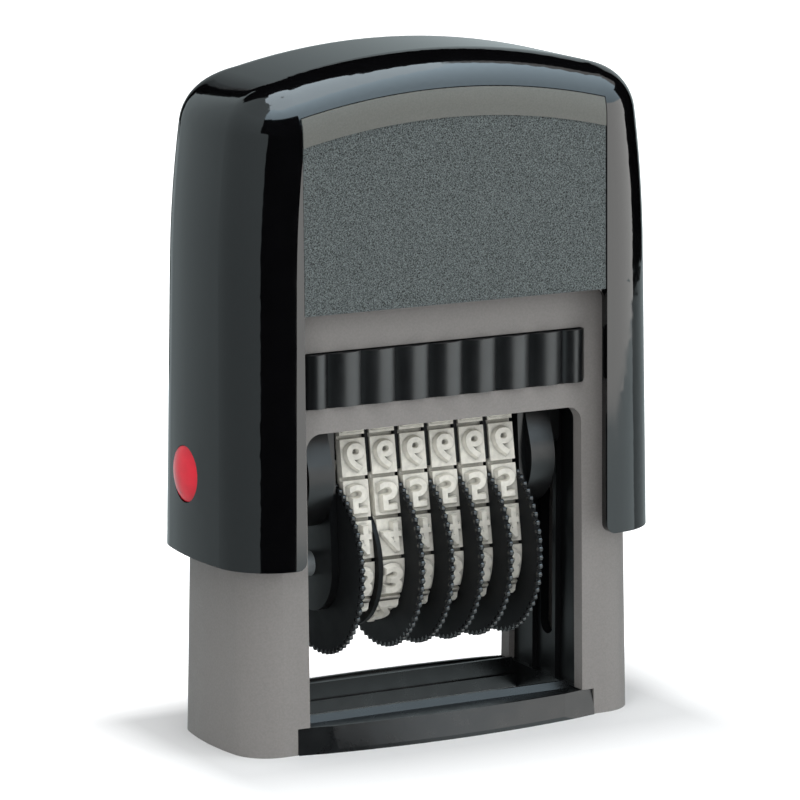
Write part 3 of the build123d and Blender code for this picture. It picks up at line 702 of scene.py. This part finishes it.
class NUMBERING_OT_studio(bpy.types.Operator):
    """Set the floor, the soft lamps, the white surround and the camera"""

    bl_idname = "numbering.studio"
    bl_label = "Studio"

    azimuth = radians(-28.5)
    elevation = radians(11.16)
    distance = 0.624
    target = Vector((-1.22, 0.0, 41.05)) * MM
    sensor_width = 36.0
    nearest = 0.01
    farthest = 50.0
    floor_size = 8.0
    # Reach, start and end of the painted shadow round the foot: it runs further to the front than behind
    shade_reach_low = (-1.0, -0.35, 0.0)
    shade_reach_high = (1.0, 1.3, 0.0)
    shade_start = 1.0 * MM
    shade_end = 16.0 * MM
    floor_lift = 0.75
    lamp_aim = (0.0, 0.0, 0.04)
    card_distance = 0.6
    card_eye = 0.05
    card_columns = 24
    flag_size = 0.3
    flag_place = (-0.24, 0.02, 0.15)
    soft_light = 0.45
    seen_light = 1.0

    def execute(self, context):
        self.lay_floor()
        self.hang_lamps()
        self.stand_cards()
        self.stand_flag()
        self.surround()
        self.place_camera()
        return {"FINISHED"}

    def lay_floor(self):
        """A matt floor that turns to plain white a little way from the foot of the machine. Its real shading
        and shadow show by the foot, and the camera-only glow that rises away from it paints a soft shadow
        round the foot.
        """
        clear_selection()
        bpy.ops.mesh.primitive_plane_add(size=self.floor_size, location=(0, 0, 0))
        floor = bpy.context.object
        floor.name = "floor"
        finish = Finish("floor white", colours().floor, roughness=0.9)
        tree = finish.tree
        light_path = tree.nodes.new("ShaderNodeLightPath")
        lift = tree.nodes.new("ShaderNodeMath")
        lift.operation = "MULTIPLY"
        # Painted shadow: the camera-only glow is held back near the foot and rises with distance from it
        away = self.distance_outside(finish)
        whiteness = finish.remap(away, self.shade_start, self.shade_end, 0.0, self.floor_lift)
        tree.links.new(light_path.outputs["Is Camera Ray"], lift.inputs[0])
        tree.links.new(whiteness, lift.inputs[1])
        finish.shader.inputs["Emission Color"].default_value = (1, 1, 1, 1)
        tree.links.new(lift.outputs[0], finish.shader.inputs["Emission Strength"])
        floor.data.materials.append(finish.material)
        floor.visible_glossy = False

    def distance_outside(self, finish):
        """How far a point of the floor lies outside the box round the machine, with a reach for each side."""
        beyond = []
        for corner, reach in zip(cad_box, (self.shade_reach_low, self.shade_reach_high)):
            outside = finish.place
            for operation, other in (("SUBTRACT", corner), ("MULTIPLY", reach), ("MAXIMUM", (0, 0, 0))):
                step = finish.tree.nodes.new("ShaderNodeVectorMath")
                step.operation = operation
                step.inputs[1].default_value = other
                finish.tree.links.new(outside, step.inputs[0])
                outside = step.outputs["Vector"]
            beyond.append(outside)
        away = finish.tree.nodes.new("ShaderNodeVectorMath")
        away.operation = "DISTANCE"
        finish.tree.links.new(beyond[0], away.inputs[0])
        finish.tree.links.new(beyond[1], away.inputs[1])
        return away.outputs["Value"]

    def lamp(self, name, place, width, height, power):
        """One soft box aimed at the machine and not seen in its glossy sides."""
        clear_selection()
        bpy.ops.object.light_add(type="AREA", location=place)
        lamp = bpy.context.object
        lamp.name = name
        lamp.data.shape = "RECTANGLE"
        lamp.data.size = width
        lamp.data.size_y = height
        lamp.data.energy = power
        lamp.rotation_euler = (Vector(self.lamp_aim) - Vector(place)).to_track_quat("-Z", "Y").to_euler()
        lamp.visible_glossy = False

    def hang_lamps(self):
        self.lamp("lamp top", place=(-0.1, -0.15, 0.9), width=0.7, height=0.7, power=5.0)
        self.lamp("lamp front left", place=(-0.6, -0.7, 0.45), width=0.5, height=0.6, power=2.4)
        self.lamp("lamp right", place=(0.7, -0.6, 0.4), width=0.4, height=0.6, power=1.5)

    def card(self, name, turn, rise, colour=(0, 0, 0), glow=(0, 0), gain=1.0, nearer=0.0, slant=0.0):
        """A curved screen round the machine, seen in glossy surfaces alone.

        It runs between two turns in degrees, 0 being the front and 90 the right, and between two rises in
        degrees. Its glow runs from one end to the other and gains towards the top. Its lower edge may slant.
        """
        clear_selection()
        bpy.ops.mesh.primitive_grid_add(x_subdivisions=self.card_columns, y_subdivisions=1, size=1)
        card = bpy.context.object
        card.name = name
        distance = self.card_distance - nearer
        high = self.card_eye + distance * tan(radians(rise[1]))
        shine = card.data.attributes.new("glow", "FLOAT", "POINT")
        for index, vertex in enumerate(card.data.vertices):
            along, upward = vertex.co.x + 0.5, vertex.co.y + 0.5
            angle = radians(turn[0] + (turn[1] - turn[0]) * along)
            low = self.card_eye + distance * tan(radians(rise[0] + slant * along))
            vertex.co = (distance * sin(angle), -distance * cos(angle), low + (high - low) * upward)
            shine.data[index].value = (glow[0] + (glow[1] - glow[0]) * along) * (1 + (gain - 1) * upward)
        finish = Finish(name, (0, 0, 0), roughness=1.0)
        strength = finish.tree.nodes.new("ShaderNodeAttribute")
        strength.attribute_name = "glow"
        finish.tree.links.new(strength.outputs["Fac"], finish.shader.inputs["Emission Strength"])
        finish.shader.inputs["Specular IOR Level"].default_value = 0
        finish.shader.inputs["Emission Color"].default_value = (*colour, 1)
        card.data.materials.append(finish.material)
        card.visible_camera = False
        card.visible_diffuse = False
        card.visible_transmission = False
        card.visible_shadow = False

    def stand_cards(self):
        """Grey, white and black cards that draw the soft edges and dark lines in the glossy cap."""
        neutral, cool = (1.0, 1.0, 0.98), (0.84, 0.97, 1.0)
        sky, horizon = (0.79, 0.92, 1.0), (0.70, 0.88, 1.0)
        self.card("card back", (122, 148), (-60, 29), cool, glow=(0.58, 0.54))
        self.card("card back dim", (148, 178), (-60, 29), cool, glow=(0.54, 0.08))
        self.card("card back high", (100, 215), (29, 72), nearer=-0.02)
        self.card("card back left low", (160, 203), (-60, -11), cool, glow=(0.85, 0.56), nearer=0.01)
        self.card("card back left", (178, 203), (-11, 42), cool, glow=(0.72, 0.56), gain=1.7, nearer=0.01)
        self.card("card left low", (203, 316), (-60, -11), cool, glow=(0.56, 0.80))
        self.card("card left", (203, 316), (-11, 44), cool, glow=(0.56, 0.80), gain=1.7)
        self.card("card left line", (177, 188), (-2, 40), nearer=0.015)
        self.card("card left high", (178, 212), (42, 72), nearer=-0.01)
        self.card("card left top", (212, 304), (40, 76), cool, glow=(0.95, 1.25), nearer=-0.007)
        self.card("card front left", (-44, 21), (-60, 16))
        self.card("card front left high", (-57, 14), (14, 42), nearer=0.01)
        self.card("card front box left", (21, 29), (-13.5, 18), neutral, glow=(3.5, 3.5))
        self.card("card front box", (29, 79), (-10.6, 18), neutral, glow=(3.5, 3.5), slant=2.6)
        self.card("card front low", (21, 79), (-60, -7.5), cool, glow=(1.9, 1.9), nearer=-0.005)
        self.card("card right low", (75, 122), (-60, -7.9), cool, glow=(0.6, 0.6))
        self.card("card right", (79, 122), (-7.9, 30), nearer=0.01)
        self.card("card sky low", (-56, 91), (18, 62), horizon, glow=(2.6, 2.6), gain=2.55, nearer=0.005)
        self.card("card sky high", (-62, 100), (62, 88.5), sky, glow=(6.6, 6.6), nearer=0.005)
        self.card("card sky back", (100, 298), (72, 88.5), sky, glow=(6.6, 6.6))

    def stand_flag(self):
        """A black flag that keeps soft light off the left-hand sides."""
        clear_selection()
        bpy.ops.mesh.primitive_plane_add(size=self.flag_size, location=self.flag_place,
                                         rotation=(0, pi / 2, 0))
        flag = bpy.context.object
        flag.name = "flag left"
        flag.data.materials.append(Finish("flag black", (0, 0, 0), roughness=1.0).material)
        flag.visible_camera = False
        flag.visible_glossy = False

    def surround(self):
        """White where the camera or a glossy side sees it, and dimmer where it lights the machine."""
        world = bpy.data.worlds.new("white surround")
        bpy.context.scene.world = world
        world.use_nodes = True
        tree = world.node_tree
        ground = tree.nodes["Background"]
        ground.inputs["Color"].default_value = (1, 1, 1, 1)
        light_path = tree.nodes.new("ShaderNodeLightPath")
        seen = tree.nodes.new("ShaderNodeMath")
        seen.operation = "MAXIMUM"
        tree.links.new(light_path.outputs["Is Camera Ray"], seen.inputs[0])
        tree.links.new(light_path.outputs["Is Glossy Ray"], seen.inputs[1])
        strength = tree.nodes.new("ShaderNodeMapRange")
        strength.inputs["To Min"].default_value = self.soft_light
        strength.inputs["To Max"].default_value = self.seen_light
        tree.links.new(seen.outputs[0], strength.inputs["Value"])
        tree.links.new(strength.outputs["Result"], ground.inputs["Strength"])

    def place_camera(self):
        """The camera to the left of the front, looking slightly down."""
        clear_selection()
        out = Vector((sin(self.azimuth) * cos(self.elevation), -cos(self.azimuth) * cos(self.elevation),
                      sin(self.elevation)))
        bpy.ops.object.camera_add(location=self.target + out * self.distance)
        camera = bpy.context.object
        camera.rotation_euler = (-out).to_track_quat("-Z", "Y").to_euler()
        camera.data.lens = sizes().camera_lens
        camera.data.sensor_width = self.sensor_width
        camera.data.clip_start = self.nearest
        camera.data.clip_end = self.farthest
        bpy.context.scene.camera = camera
        bpy.context.scene.view_settings.view_transform = "Standard"


class NUMBERING_PT_panel(bpy.types.Panel):
    """Lists the pieces of the numbering machine"""

    bl_idname = "NUMBERING_PT_panel"
    bl_label = "Numbering machine"
    bl_space_type = "VIEW_3D"
    bl_region_type = "UI"
    bl_category = "Numbering"

    def draw(self, context):
        layout = self.layout
        for operator in OPERATORS:
            layout.operator(operator.bl_idname)
        for group in (context.scene.numbering_sizes, context.scene.numbering_colours):
            box = layout.box()
            for name in group.__annotations__:
                box.prop(group, name)


OPERATORS = (
    NUMBERING_OT_cap,
    NUMBERING_OT_casing,
    NUMBERING_OT_carrier,
    NUMBERING_OT_wheels,
    NUMBERING_OT_bands,
    NUMBERING_OT_cartridge,
    NUMBERING_OT_spring,
    NUMBERING_OT_buttons,
    NUMBERING_OT_studio,
)
CLASSES = (NumberingSizes, NumberingColours, *OPERATORS, NUMBERING_PT_panel)


def register():
    for cls in CLASSES:
        bpy.utils.register_class(cls)
    bpy.types.Scene.numbering_sizes = bpy.props.PointerProperty(type=NumberingSizes)
    bpy.types.Scene.numbering_colours = bpy.props.PointerProperty(type=NumberingColours)


def unregister():
    del bpy.types.Scene.numbering_colours
    del bpy.types.Scene.numbering_sizes
    for cls in reversed(CLASSES):
        bpy.utils.unregister_class(cls)


def main():
    register()
    bpy.ops.numbering.cap()
    bpy.ops.numbering.casing()
    bpy.ops.numbering.carrier()
    bpy.ops.numbering.wheels()
    bpy.ops.numbering.bands()
    bpy.ops.numbering.cartridge()
    bpy.ops.numbering.spring()
    bpy.ops.numbering.buttons()
    bpy.ops.numbering.studio()


if __name__ == "__main__":
    main()
